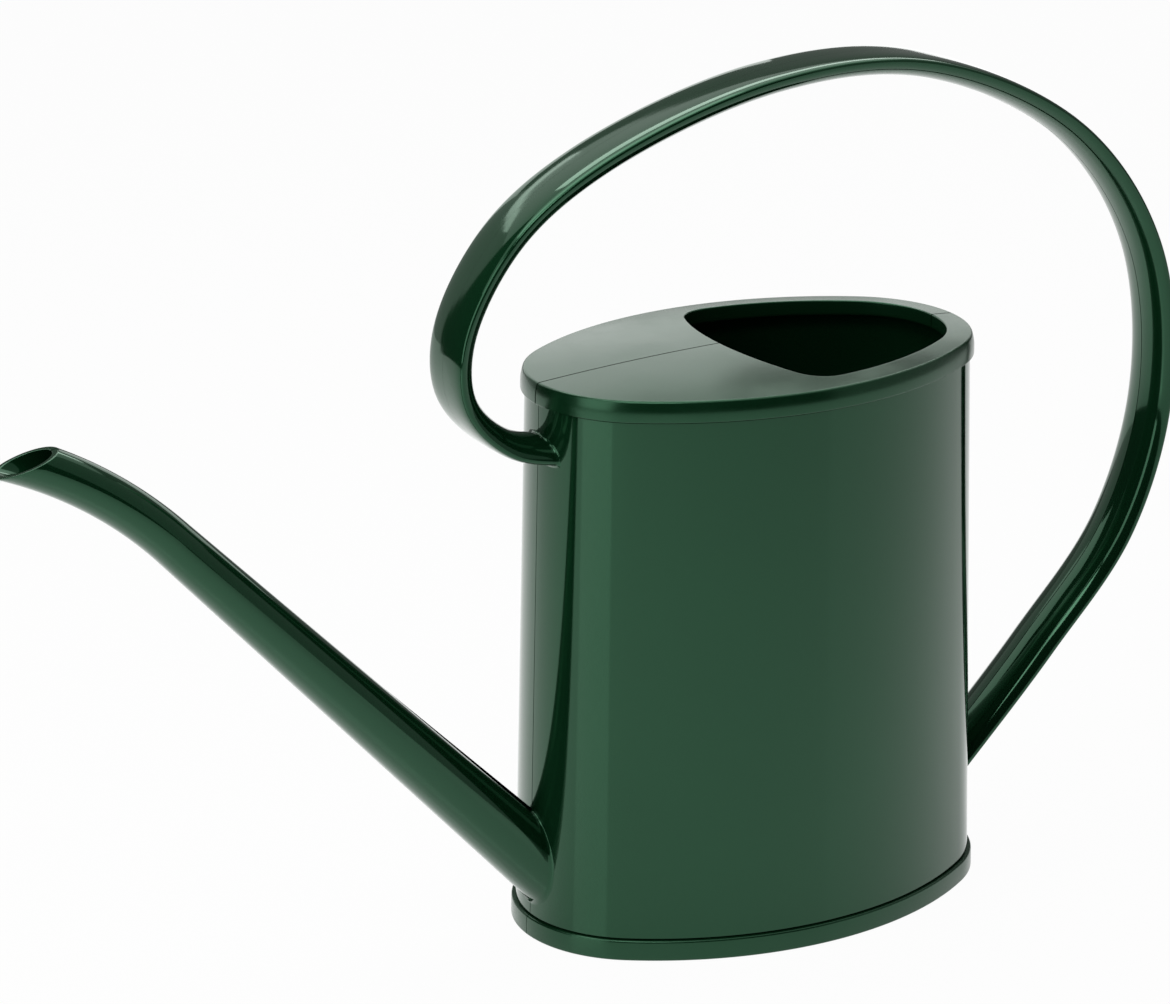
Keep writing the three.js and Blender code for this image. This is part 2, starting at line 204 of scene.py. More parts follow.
def outside_wall(p):
    """How far a point lies outside the wall's face, and the direction away from the wall."""
    grown = flare_at(p.z)
    flat = Vector((abs(p.x), abs(p.y)))
    end_x = END_X * grown
    if math.atan2(flat.y, flat.x - end_x) < JOIN and flat.x > end_x:
        away = flat - Vector((end_x, 0))
        distance = away.length - END_RADIUS * grown + BAND_PROUD
    else:
        away = flat + Vector((0, SIDE_DROP * grown))
        distance = away.length - SIDE_RADIUS * grown + BAND_PROUD
    away.normalize()
    return distance, Vector((math.copysign(away.x, p.x), math.copysign(away.y, p.y), 0))


# ---- meshes ----


def arc(from_angle, to_angle, radius, centre_z, centre_inset):
    """Heights and insets along a rounded edge. Angle 0 points out and a quarter turn points up."""
    places = []
    for i in range(ARC_STEPS + 1):
        angle = lerp(from_angle, to_angle, i / ARC_STEPS)
        places.append((centre_z + radius * math.sin(angle),
                       centre_inset - radius * math.cos(angle)))
    return places


def close_joint(work):
    """Brings a half's joint face up to the middle plane, behind a narrow groove along its edge.

    The cover's wider joint is left open: only the dark inside of the can lies behind it.
    """
    work.normal_update()
    reach = SEAM / 2 + MERGE
    joint = [face for face in work.faces
             if abs(face.normal.y) > JOINT_FACING
             and all(abs(v.co.y) < reach for v in face.verts)]
    bmesh.ops.inset_region(work, faces=joint, thickness=GROOVE_DEPTH)
    for vert in {v for face in joint for v in face.verts}:
        vert.co.y = math.copysign(JOINT_SLIT / 2, vert.co.y)


def mesh_from(name, points, faces, side):
    """A mesh from points of the left half. side is 1 for the left piece and -1 for the right."""
    data = bpy.data.meshes.new(name)
    placed = [(p.x + AXIS_X, side * p.y, p.z) for p in points]
    data.from_pydata(placed, [], faces)
    work = bmesh.new()
    work.from_mesh(data)
    bmesh.ops.remove_doubles(work, verts=work.verts, dist=WELD)
    bmesh.ops.dissolve_degenerate(work, edges=work.edges, dist=WELD)
    bmesh.ops.recalc_face_normals(work, faces=work.faces)
    close_joint(work)
    work.to_mesh(data)
    work.free()
    return data


def add_piece(name, data, material):
    piece = bpy.data.objects.new(name, data)
    bpy.context.scene.collection.objects.link(piece)
    data.materials.clear()
    data.materials.append(material)
    for face in data.polygons:
        face.use_smooth = True
    data.set_sharp_from_angle(angle=SHARP_FROM)
    return piece


def looped(columns):
    """Points and faces of a body whose columns are closed loops of equally many points."""
    count = len(columns[0])
    faces = []
    for c in range(len(columns) - 1):
        for r in range(count):
            a, b = c * count + r, c * count + (r + 1) % count
            faces.append((a, b, b + count, a + count))
    last = (len(columns) - 1) * count
    faces.append(tuple(range(count)))
    faces.append(tuple(range(last, last + count)))
    return [p for column in columns for p in column], faces


# ---- wall ----

BAND_INSET = BAND_PROUD + REBATE_DEPTH
LIP_INSET = BAND_INSET - SEAM
FLOOR_TOP = FOOT_RECESS + FLOOR_THICKNESS


def wall_profile():
    """(height, inset) places round the wall's section."""
    foot_shoulder = BAND_HEIGHT + SEAM
    rim_shoulder = BODY_HEIGHT - BAND_HEIGHT - SEAM
    top = BODY_HEIGHT - DECK_THICKNESS - SEAM
    places = [(FLOOR_TOP + SEAM, BAND_INSET), (foot_shoulder, BAND_INSET)]
    places += [(foot_shoulder, BAND_PROUD + SHOULDER_EDGE),
               (foot_shoulder + SHOULDER_EDGE, BAND_PROUD)]
    for i in range(1, WALL_ROWS):
        places.append((lerp(foot_shoulder, rim_shoulder, i / WALL_ROWS), BAND_PROUD))
    places += [(rim_shoulder - SHOULDER_EDGE, BAND_PROUD),
               (rim_shoulder, BAND_PROUD + SHOULDER_EDGE)]
    places += [(rim_shoulder, BAND_INSET), (top, BAND_INSET)]
    inner = BAND_PROUD + WALL
    for i in range(WALL_ROWS + 1):
        places.append((lerp(top, FLOOR_TOP + SEAM, i / WALL_ROWS), inner))
    return places


def wall_half(side):
    profile = wall_profile()
    columns = [[on_oval(c, z, inset) for z, inset in profile] for c in range(RIM_STEPS + 1)]
    return mesh_from("wall", *looped(columns), side)


# ---- foot ----


def foot_half(side):
    """Half of the foot: its band, its ring and the floor, whose rows run sideways to the joint."""
    quarter = math.pi / 2
    outer = [(0, FOOT_RING_WIDTH)]
    outer += arc(-quarter, 0, SMALL_RADIUS, SMALL_RADIUS, SMALL_RADIUS)
    outer += arc(0, quarter, SMALL_RADIUS, BAND_HEIGHT - SMALL_RADIUS, SMALL_RADIUS)
    outer += [(BAND_HEIGHT, LIP_INSET), (FLOOR_TOP, LIP_INSET)]
    columns = []
    for c in range(RIM_STEPS + 1):
        column = [on_oval(c, z, inset) for z, inset in outer]
        for z, inset in ((FLOOR_TOP, LIP_INSET), (FOOT_RECESS, FOOT_RING_WIDTH)):
            edge = on_oval(c, z, inset)
            seam = Vector((edge.x * FLOOR_GATHER, SEAM / 2, z))
            rows = [edge.lerp(seam, i / FLOOR_ROWS) for i in range(FLOOR_ROWS + 1)]
            column += rows[1:] if z == FLOOR_TOP else rows[::-1]
        columns.append(column)
    return mesh_from("foot", *looped(columns), side)


# ---- cover ----

# The swelling of the rim band ends where the middle of its edge's rounding lies.
SWELL_TO_EDGE = RIM_SWELL_RADIUS - BAND_EDGE_RADIUS
EDGE_INSET = RIM_SWELL_RADIUS - SWELL_TO_EDGE * math.cos(RIM_SWELL)


def oval_share(x, y, inset):
    """How far out a point lies, from 0 in the middle to 1 on the rim's oval, inset all round."""
    reach = math.hypot(x, y)
    across, up = abs(x) / reach, abs(y) / reach
    end, side = END_RADIUS - inset, SIDE_RADIUS - inset
    join_x, join_y = END_X + end * math.cos(JOIN), end * math.sin(JOIN)
    if up * join_x < across * join_y:
        edge = END_X * across + math.sqrt(end**2 - (END_X * up) ** 2)
    else:
        edge = -SIDE_DROP * up + math.sqrt(side**2 - (SIDE_DROP * across) ** 2)
    return reach / edge


def crown(x, y):
    """How high the cover rises above the rim."""
    return DECK_CROWN * (1 - oval_share(x, y, EDGE_INSET) ** 2)


def opening_corner():
    """The middle of the rounded front corner, where the front arc meets the side."""
    front_centre = DECK_REACH - RIM_LENGTH / 2 + OPENING_FRONT_RADIUS
    front = OPENING_FRONT_RADIUS - OPENING_CORNER_RADIUS
    side = SIDE_RADIUS - OPENING_MARGIN - OPENING_CORNER_RADIUS
    apart = math.hypot(front_centre, SIDE_DROP)
    along = (front**2 + apart**2 - side**2) / (2 * apart)
    aside = math.sqrt(front**2 - along**2)
    unit = Vector((-front_centre, -SIDE_DROP)) / apart
    left = Vector((unit.y, -unit.x))
    return Vector((front_centre, 0)) + unit * along + left * aside


def opening_half():
    """(point, outward normal) pairs of the opening's edge, one for each column of the rim."""
    corner = opening_corner()
    front_centre = Vector((DECK_REACH - RIM_LENGTH / 2 + OPENING_FRONT_RADIUS, 0))
    side_join = math.atan2(corner.y + SIDE_DROP, corner.x)
    front_join = math.atan2(corner.y, corner.x - front_centre.x)
    corner_run = OPENING_CORNER_RADIUS * (front_join - side_join)
    front_run = OPENING_FRONT_RADIUS * (math.pi - front_join)
    first = next(i for i, (_, n) in enumerate(RIM) if math.atan2(n.y, n.x) > side_join)
    pairs = []
    for i, (point, normal) in enumerate(RIM):
        if i < first:
            pairs.append((point - normal * OPENING_MARGIN, normal))
            continue
        run = (corner_run + front_run) * (i - first) / (RIM_STEPS - first)
        if run < corner_run:
            angle, radius = side_join + run / OPENING_CORNER_RADIUS, OPENING_CORNER_RADIUS
            centre = corner
        else:
            angle = front_join + (run - corner_run) / OPENING_FRONT_RADIUS
            radius, centre = OPENING_FRONT_RADIUS, front_centre
        normal = Vector((math.cos(angle), math.sin(angle)))
        pairs.append((centre + normal * radius, normal))
    return pairs


def rim_profile():
    """(height, inset) places up the rim band, from its lower lip to the deck's edge."""
    bottom = BODY_HEIGHT - BAND_HEIGHT
    rounding = SMALL_RADIUS / 2
    edge_z = BODY_HEIGHT - BAND_EDGE_RADIUS
    swell_z = edge_z - SWELL_TO_EDGE * math.sin(RIM_SWELL)
    places = [(bottom, LIP_INSET)]
    places += arc(-math.pi / 2, 0, rounding, bottom + rounding, rounding)
    places += arc(0, RIM_SWELL, RIM_SWELL_RADIUS, swell_z, RIM_SWELL_RADIUS)
    places += arc(RIM_SWELL, math.pi / 2 - DECK_EDGE_SLOPE, BAND_EDGE_RADIUS, edge_z,
                  EDGE_INSET)[1:]
    return places


def cover_column(c, edge_point, edge_normal):
    """One closed loop across the cover: over the rim and deck, round the collar and back below."""
    column = [on_oval(c, z, inset) for z, inset in rim_profile()]
    start = column[-1]

    def beside(distance, drop):
        """A point at a distance outwards from the opening's edge, drop below the crown."""
        flat = edge_point + edge_normal * distance
        flat.y = max(flat.y, SEAM / 2)
        return Vector((flat.x, flat.y, BODY_HEIGHT + crown(flat.x, flat.y) - drop))

    finish = beside(OPENING_EDGE_RADIUS, 0)
    for r in range(1, DECK_ROWS):
        t = r / DECK_ROWS
        t = t * t * (3 - 2 * t)  # the rows stand closer together at both edges
        x, y = lerp(start.x, finish.x, t), lerp(start.y, finish.y, t)
        column.append(Vector((x, y, BODY_HEIGHT + crown(x, y))))
    for i in range(ARC_STEPS + 1):
        angle = math.pi / 2 * i / ARC_STEPS
        column.append(beside(OPENING_EDGE_RADIUS * (1 - math.sin(angle)),
                             OPENING_EDGE_RADIUS * (1 - math.cos(angle))))
    collar_bottom = BODY_HEIGHT - COLLAR_DEPTH
    rounding = COLLAR_THICKNESS / 2
    inner = beside(0, 0)
    outer = beside(COLLAR_THICKNESS, 0)
    for i in range(1, COLLAR_ROWS + 1):
        z = lerp(column[-1].z, collar_bottom + rounding, i / COLLAR_ROWS)
        column.append(Vector((inner.x, inner.y, z)))
    for i in range(1, 2 * ARC_STEPS):
        angle = math.pi * i / (2 * ARC_STEPS)
        share = (1 - math.cos(angle)) / 2
        column.append(Vector((lerp(inner.x, outer.x, share), lerp(inner.y, outer.y, share),
                              collar_bottom + rounding * (1 - math.sin(angle)))))
    deck_bottom = BODY_HEIGHT - DECK_THICKNESS
    lip = on_oval(c, deck_bottom, LIP_INSET)
    rows = DECK_ROWS // 2
    for r in range(rows + 1):
        x, y = lerp(outer.x, lip.x, r / rows), lerp(outer.y, lip.y, r / rows)
        column.append(Vector((x, y, deck_bottom + max(crown(x, y), 0))))
    return column


def cover_half(side):
    columns = [cover_column(c, *pair) for c, pair in enumerate(opening_half())]
    points, faces = looped(columns)
    for point in points:
        point.y = max(point.y, COVER_SEAM / 2)
    return mesh_from("cover", points, faces, side)


# ---- spout ----


def in_plane(x, z):
    return Vector((x, 0, z))


def wall_end_x(z):
    return RIM_LENGTH / 2 * flare_at(z) - BAND_PROUD


def quadratic(a, b, c, t):
    return a.lerp(b, t).lerp(b.lerp(c, t), t)


def spout_line():
    """Stations along the spout's centre line: how far along, the point and the direction."""
    along = in_plane(-math.cos(SPOUT_ANGLE), math.sin(SPOUT_ANGLE))
    tip_along = in_plane(-math.cos(SPOUT_TIP_ANGLE), math.sin(SPOUT_TIP_ANGLE))
    root = in_plane(-wall_end_x(SPOUT_ROOT_HEIGHT), SPOUT_ROOT_HEIGHT)
    bend_start = root + along * SPOUT_RUN
    bend_middle = bend_start + along * SPOUT_BEND
    bend_end = bend_middle + tip_along * SPOUT_BEND
    stations = [(-ROOT_INSIDE, root - along * ROOT_INSIDE, along), (SPOUT_RUN, bend_start, along)]
    for i in range(1, BEND_STEPS + 1):
        t = i / BEND_STEPS
        point = quadratic(bend_start, bend_middle, bend_end, t)
        run = stations[-1][0] + (point - stations[-1][1]).length
        stations.append((run, point, along.lerp(tip_along, t).normalized()))
    run = stations[-1][0] + 2 * SPOUT_TIP_RUN
    stations.append((run, bend_end + tip_along * 2 * SPOUT_TIP_RUN, tip_along))
    return stations


SPOUT_LINE = spout_line()
SPOUT_END = SPOUT_LINE[-2][0] + SPOUT_TIP_RUN


def spout_frame(run):
    """Centre and direction of the spout at a distance along it from the wall."""
    i = next(i for i in range(len(SPOUT_LINE) - 1) if run <= SPOUT_LINE[i + 1][0])
    run_a, a, along_a = SPOUT_LINE[i]
    run_b, b, along_b = SPOUT_LINE[i + 1]
    share = (run - run_a) / (run_b - run_a)
    return a.lerp(b, share), along_a.lerp(along_b, share).normalized()


def spout_radius(run):
    if run > SPOUT_RUN:
        share = (run - SPOUT_RUN) / (SPOUT_END - SPOUT_RUN)
        return lerp(SPOUT_NECK_RADIUS, SPOUT_TIP_RADIUS, share)
    return lerp(SPOUT_ROOT_RADIUS, SPOUT_NECK_RADIUS, run / SPOUT_RUN)


def spout_wall(run):
    return lerp(SPOUT_ROOT_WALL, SPOUT_TIP_WALL, run / SPOUT_END)


def on_spout(run, angle, inset):
    """A point of the spout's face or, inset by the wall, of its bore. Angle 0 points up."""
    centre, along = spout_frame(run)
    across = Vector((along.z, 0, -along.x))
    radius = spout_radius(run) - inset
    return centre + across * math.cos(angle) * radius + Vector((0, math.sin(angle) * radius, 0))


def bisect(low, high, test):
    """Where test, false at low and true at high, changes."""
    for _ in range(HALVINGS):
        middle = (low + high) / 2
        if test(middle):
            high = middle
        else:
            low = middle
    return high


def mouth_plane():
    """A point and the normal of the plane that cuts the spout's slanting mouth."""
    centre, along = spout_frame(SPOUT_END)
    top = centre - along * MOUTH_SETBACK
    top += Vector((-along.z, 0, along.x)) * -SPOUT_TIP_RADIUS
    normal = Vector((-math.sin(MOUTH_ANGLE), 0, math.cos(MOUTH_ANGLE)))
    return top, normal


MOUTH_TOP, MOUTH_NORMAL = mouth_plane()


def rounded(below, corner, inward):
    """Points round a corner of the lip, from the face below it on to the lip itself."""
    first = corner + (below - corner).normalized() * LIP_RADIUS
    last = corner + inward * LIP_RADIUS
    return [quadratic(first, corner, last, i / ARC_STEPS) for i in range(ARC_STEPS + 1)]


def spout_column(angle):
    """One closed loop along the spout: out along its face, over the lip and back by its bore."""
    def depth(run):
        return outside_wall(on_spout(run, angle, 0))[0]

    def past_mouth(run, inset):
        return (on_spout(run, angle, inset) - MOUTH_TOP).dot(MOUTH_NORMAL)

    column = []
    start = bisect(-ROOT_INSIDE, ROOT_INSIDE, lambda run: depth(run) > -SINK)
    radial = (on_spout(start, angle, 0) - spout_frame(start)[0]).normalized()

    def flared(run, push):
        point = on_spout(run, angle, 0)
        away = outside_wall(point)[1]
        sideways = (radial - away * radial.dot(away)).normalized()
        return point + sideways * push

    column.append(flared(start, SPOUT_FILLET))
    for i in range(FILLET_STEPS + 1):
        turn = math.pi / 2 * i / FILLET_STEPS
        height = SPOUT_FILLET * (1 - math.cos(turn))
        run = bisect(start, 2 * ROOT_INSIDE, lambda r: depth(r) > height)
        column.append(flared(run, SPOUT_FILLET * (1 - math.sin(turn))))
    beyond = SPOUT_LINE[-1][0]
    end = bisect(SPOUT_RUN, beyond, lambda r: past_mouth(r, 0) > 0)
    inner_end = bisect(SPOUT_RUN, beyond, lambda r: past_mouth(r, spout_wall(r)) > 0)
    outer_stop, inner_stop = end - LIP_RADIUS * 2, inner_end - LIP_RADIUS * 2
    for i in range(1, SPOUT_ROWS):
        column.append(on_spout(lerp(run, outer_stop, i / SPOUT_ROWS), angle, 0))
    outer_lip = on_spout(end, angle, 0)
    inner_lip = on_spout(inner_end, angle, spout_wall(inner_end))
    across = (inner_lip - outer_lip).normalized()
    outer_below = on_spout(outer_stop, angle, 0)
    inner_below = on_spout(inner_stop, angle, spout_wall(inner_end))
    column += rounded(outer_below, outer_lip, across)
    column += rounded(inner_below, inner_lip, -across)[::-1]
    bore_start = bisect(-ROOT_INSIDE, ROOT_INSIDE,
                        lambda r: outside_wall(on_spout(r, angle, spout_wall(r)))[0] > -WALL)
    for i in range(SPOUT_ROWS + 1):
        r = lerp(inner_stop, bore_start, i / SPOUT_ROWS)
        column.append(on_spout(r, angle, spout_wall(r)))
    return column


def spout_half(side):
    columns = []
    for i in range(SPOUT_SIDES + 1):
        column = spout_column(math.pi * i / SPOUT_SIDES)
        for p in column:
            p.y = max(p.y, SEAM / 2)
        columns.append(column)
    return mesh_from("spout", *looped(columns), side)


# ---- handle ----


def handle_stations():
    """The loop's stations: up the front, over the grip and down the rear."""
    foot_z = BODY_HEIGHT - FRONT_FOOT_DROP
    top_z = BODY_HEIGHT + HANDLE_RISE
    front_x = -wall_end_x(foot_z)
    rear_x = wall_end_x(REAR_FOOT_HEIGHT)
    stations = [in_plane(front_x - reach * HANDLE_FRONT_REACH, lerp(foot_z, top_z, rise))
                for reach, rise in FRONT_STATIONS]
    stations += [in_plane(lerp(front_x, rear_x, share), lerp(foot_z, top_z, rise))
                 for share, rise in GRIP_STATIONS]
    stations += [in_plane(rear_x + reach * HANDLE_REAR_REACH, lerp(REAR_FOOT_HEIGHT, top_z, rise))
                 for reach, rise in REAR_STATIONS]
    return stations


def through(stations, steps):
    """A smooth line through the stations, close to even in its speed."""
    first, last = stations[0] * 2 - stations[1], stations[-1] * 2 - stations[-2]
    padded = [first, *stations, last]
    line = [stations[0]]
    for p0, p1, p2, p3 in zip(padded, padded[1:], padded[2:], padded[3:]):
        d0, d1, d2 = ((b - a).length ** 0.5 for a, b in ((p0, p1), (p1, p2), (p2, p3)))
        start = ((p1 - p0) / d0 - (p2 - p0) / (d0 + d1) + (p2 - p1) / d1) * d1
        end = ((p2 - p1) / d1 - (p3 - p1) / (d1 + d2) + (p3 - p2) / d2) * d1
        for i in range(1, steps + 1):
            t = i / steps
            line.append(p1 + start * t + (p1 * -3 + p2 * 3 - start * 2 - end) * t**2
                        + (p1 * 2 - p2 * 2 + start + end) * t**3)
    return line


def handle_line():
    """Points of the loop's centre line, close together where it meets the wall."""
    fine = through(handle_stations(), HANDLE_LINE_STEPS)
    kept, since = [fine[0]], 0
    for a, b in zip(fine, fine[1:]):
        since += (b - a).length
        near = abs(outside_wall(b)[0]) < HANDLE_JOINT_REACH and b.z < BODY_HEIGHT
        if since >= (HANDLE_JOINT_STEP if near else HANDLE_STEP) or b is fine[-1]:
            kept.append(b)
            since = 0
    return kept


def maths(tree, operation, *values, kind="ShaderNodeMath"):
    """The result of a math node whose inputs are numbers or sockets."""
    node = tree.nodes.new(kind)
    node.operation = operation
    for socket, value in zip(node.inputs, values):
        if isinstance(value, bpy.types.NodeSocket):
            tree.links.new(value, socket)
        else:
            socket.default_value = value
    return node.outputs[0]


def sampled(tree, curve, index, field, kind):
    """A field of the curve's points, read at an index."""
    node = tree.nodes.new("GeometryNodeSampleIndex")
    node.data_type, node.domain = kind, "POINT"
    tree.links.new(curve, node.inputs["Geometry"])
    value = next(s for s in node.inputs if s.name == "Value" and s.enabled)
    tree.links.new(field, value)
    tree.links.new(index, node.inputs["Index"])
    return next(s for s in node.outputs if s.enabled)


INNER_FACE = "inner face"  # marks the points of the bar's bore


def moulded_bar_tree():
    """Half of a hollow bar along a curve, flat outside the loop and round inside it."""
    tree = bpy.data.node_groups.new("moulded bar", "GeometryNodeTree")
    face = tree.interface
    face.new_socket("Curve", in_out="INPUT", socket_type="NodeSocketGeometry")
    face.new_socket("Sides", in_out="INPUT", socket_type="NodeSocketInt")
    for label in ("Front thickness", "Rear thickness", "Width", "Outer share", "Outer squareness",
                  "Inner squareness", "Wall", "Seam", "Side"):
        face.new_socket(label, in_out="INPUT", socket_type="NodeSocketFloat")
    face.new_socket("Material", in_out="INPUT", socket_type="NodeSocketMaterial")
    face.new_socket("Bar", in_out="OUTPUT", socket_type="NodeSocketGeometry")
    new = tree.nodes.new
    link = tree.links.new
    given = new("NodeGroupInput").outputs
    result = new("NodeGroupOutput")

    def calc(operation, *values):
        return maths(tree, operation, *values)

    def combine(operation, *values):
        return maths(tree, operation, *values, kind="ShaderNodeVectorMath")

    count = new("GeometryNodeAttributeDomainSize")
    count.component = "CURVE"
    link(given["Curve"], count.inputs[0])
    rings = count.outputs["Point Count"]
    sides = given["Sides"]
    around = calc("MULTIPLY_ADD", sides, 2, 2)

    grid = new("GeometryNodeMeshGrid")
    link(rings, grid.inputs["Vertices X"])
    link(calc("ADD", around, 1), grid.inputs["Vertices Y"])
    place = new("ShaderNodeSeparateXYZ")
    link(new("GeometryNodeInputPosition").outputs[0], place.inputs[0])
    u = calc("ADD", place.outputs["X"], 0.5)
    v = calc("ADD", place.outputs["Y"], 0.5)
    index = calc("ROUND", calc("MULTIPLY", u, calc("SUBTRACT", rings, 1)))
    step = calc("ROUND", calc("MULTIPLY", v, around))

    # Round the section: the outside first, then back along the bore, then the first point again.
    last = calc("SUBTRACT", around, 0.5)
    inner = calc("MULTIPLY", calc("GREATER_THAN", step, calc("ADD", sides, 0.5)),
                 calc("LESS_THAN", step, last))
    closing = calc("GREATER_THAN", step, last)
    back = calc("SUBTRACT", calc("SUBTRACT", around, 1), step)
    mirrored = calc("MULTIPLY", calc("SUBTRACT", back, step), inner)
    turn = calc("ADD", step, mirrored)
    turn = calc("MULTIPLY", turn, calc("SUBTRACT", 1, closing))
    angle = calc("MULTIPLY", math.pi, calc("DIVIDE", turn, sides))

    # The section's shape: one squareness outside the loop and another towards the fingers.
    cosine = calc("COSINE", angle)
    fingers = calc("GREATER_THAN", cosine, 0)
    softer = calc("SUBTRACT", given["Inner squareness"], given["Outer squareness"])
    squareness = calc("MULTIPLY_ADD", softer, fingers, given["Outer squareness"])
    power = calc("DIVIDE", 2, squareness)
    out = calc("POWER", calc("ABSOLUTE", cosine), power)
    out = calc("MULTIPLY", out, calc("SIGN", cosine))
    aside = calc("POWER", calc("ABSOLUTE", calc("SINE", angle)), power)

    curve = given["Curve"]
    share = new("GeometryNodeSplineParameter").outputs["Factor"]
    share = sampled(tree, curve, index, share, "FLOAT")
    spread = calc("SUBTRACT", given["Rear thickness"], given["Front thickness"])
    thickness = calc("MULTIPLY_ADD", spread, share, given["Front thickness"])
    skin = calc("MULTIPLY", inner, given["Wall"])
    part = calc("ABSOLUTE", calc("SUBTRACT", fingers, given["Outer share"]))
    depth = calc("SUBTRACT", calc("MULTIPLY", thickness, part), skin)
    widest = calc("SUBTRACT", given["Outer share"], 0.5)
    widest = calc("MULTIPLY", thickness, widest)
    half_wide = calc("SUBTRACT", calc("MULTIPLY", given["Width"], 0.5), skin)

    joint = calc("MULTIPLY", given["Seam"], 0.5)
    joint = calc("MULTIPLY", joint, calc("MAXIMUM", fingers, OUTER_SEAM_SHARE))
    offset_y = calc("MAXIMUM", calc("MULTIPLY", aside, half_wide), joint)
    sideways = new("ShaderNodeCombineXYZ")
    link(calc("MULTIPLY", offset_y, given["Side"]), sideways.inputs["Y"])
    position = new("GeometryNodeInputPosition").outputs[0]
    tangent = new("GeometryNodeInputTangent").outputs[0]
    centre = sampled(tree, curve, index, position, "FLOAT_VECTOR")
    along = sampled(tree, curve, index, tangent, "FLOAT_VECTOR")
    outwards = new("ShaderNodeVectorMath")
    outwards.operation = "SCALE"
    link(combine("CROSS_PRODUCT", (0, 1, 0), along), outwards.inputs[0])
    link(calc("MULTIPLY_ADD", out, depth, widest), outwards.inputs["Scale"])
    moved = combine("ADD", combine("ADD", centre, outwards.outputs[0]), sideways.outputs[0])

    marked = new("GeometryNodeStoreNamedAttribute")
    marked.data_type, marked.domain = "BOOLEAN", "POINT"
    marked.inputs["Name"].default_value = INNER_FACE
    link(grid.outputs["Mesh"], marked.inputs["Geometry"])
    link(inner, next(s for s in marked.inputs if s.name == "Value" and s.enabled))
    shaped = new("GeometryNodeSetPosition")
    link(marked.outputs[0], shaped.inputs["Geometry"])
    link(moved, shaped.inputs["Position"])
    merged = new("GeometryNodeMergeByDistance")
    merged.inputs["Distance"].default_value = MERGE
    link(shaped.outputs[0], merged.inputs["Geometry"])
    realized = new("GeometryNodeRealizeInstances")
    link(merged.outputs[0], realized.inputs[0])
    finish = new("GeometryNodeSetMaterial")
    link(realized.outputs[0], finish.inputs["Geometry"])
    link(given["Material"], finish.inputs["Material"])
    link(finish.outputs[0], result.inputs["Bar"])
    return tree


def set_inputs(modifier, **values):
    """Sets a node tree's inputs by name. Spaces in a name are written as underscores."""
    for item in modifier.node_group.interface.items_tree:
        key = item.name.replace(" ", "_")
        if item.in_out == "INPUT" and key in values:
            modifier[item.identifier] = values[key]


def swept_bar(side, material):
    """The half bar swept along the loop's line, open at both ends."""
    line = handle_line()
    curve = bpy.data.curves.new("loop line", "CURVE")
    curve.dimensions = "3D"
    spline = curve.splines.new("POLY")
    spline.points.add(len(line) - 1)
    for point, place in zip(spline.points, line):
        point.co = (*place, 1)
    path = bpy.data.objects.new("loop line", curve)
    bpy.context.scene.collection.objects.link(path)
    bar = path.modifiers.new("moulded bar", "NODES")
    bar.node_group = BAR_TREE
    set_inputs(bar, Sides=HANDLE_SIDES, Front_thickness=HANDLE_FRONT_THICKNESS,
               Rear_thickness=HANDLE_REAR_THICKNESS, Width=HANDLE_WIDTH,
               Outer_share=HANDLE_OUTER_SHARE, Outer_squareness=HANDLE_OUTER_SQUARENESS,
               Inner_squareness=HANDLE_INNER_SQUARENESS, Wall=HANDLE_WALL, Seam=SEAM,
               Side=float(side), Material=material)
    evaluated = path.evaluated_get(bpy.context.evaluated_depsgraph_get())
    data = bpy.data.meshes.new_from_object(evaluated)
    bpy.data.objects.remove(path)
    return data


def round_feet(work, side):
    """Spreads the bar's outside into a small rounding where it meets the wall."""
    inner = work.verts.layers.bool[INNER_FACE]
    work.normal_update()
    pushes = []
    for vert in work.verts:
        depth, away = outside_wall(vert.co)
        if vert[inner] or depth >= HANDLE_FILLET or vert.co.z > BODY_HEIGHT:
            continue
        sideways = vert.normal - away * vert.normal.dot(away)
        height = HANDLE_FILLET - max(depth, 0)
        push = HANDLE_FILLET - math.sqrt(HANDLE_FILLET**2 - height**2)
        pushes.append((vert, sideways.normalized() * push))
    for vert, push in pushes:
        vert.co += push
        vert.co.y = side * max(side * vert.co.y, SEAM / 2 * OUTER_SEAM_SHARE)


def handle_half(side, material):
    """Half of the loop, hollow and closed, before its ends are trimmed to the wall."""
    data = swept_bar(side, material)
    work = bmesh.new()
    work.from_mesh(data)
    bmesh.ops.holes_fill(work, edges=[e for e in work.edges if e.is_boundary])
    bmesh.ops.recalc_face_normals(work, faces=work.faces)
    if work.calc_volume(signed=True) < 0:
        bmesh.ops.reverse_faces(work, faces=work.faces)
    round_feet(work, side)
    for vert in work.verts:
        vert.co.x += AXIS_X
    close_joint(work)
    work.to_mesh(data)
    work.free()
    data.attributes.remove(data.attributes[INNER_FACE])
    return data


def oval_solid(inset, low, high):
    """A closed oval block that fills the can's outline, inset all round."""
    points = []
    for z in (low, high):
        left = [point * flare_at(z) - normal * inset for point, normal in RIM]
        points += [(p.x + AXIS_X, p.y, z) for p in left]
        points += [(p.x + AXIS_X, -p.y, z) for p in left[-2:0:-1]]
    around = len(points) // 2
    faces = [tuple(range(around))[::-1], tuple(range(around, 2 * around))]
    for i in range(around):
        j = (i + 1) % around
        faces.append((i, j, j + around, i + around))
    data = bpy.data.meshes.new("cutter")
    data.from_pydata(points, [], faces)
    return data


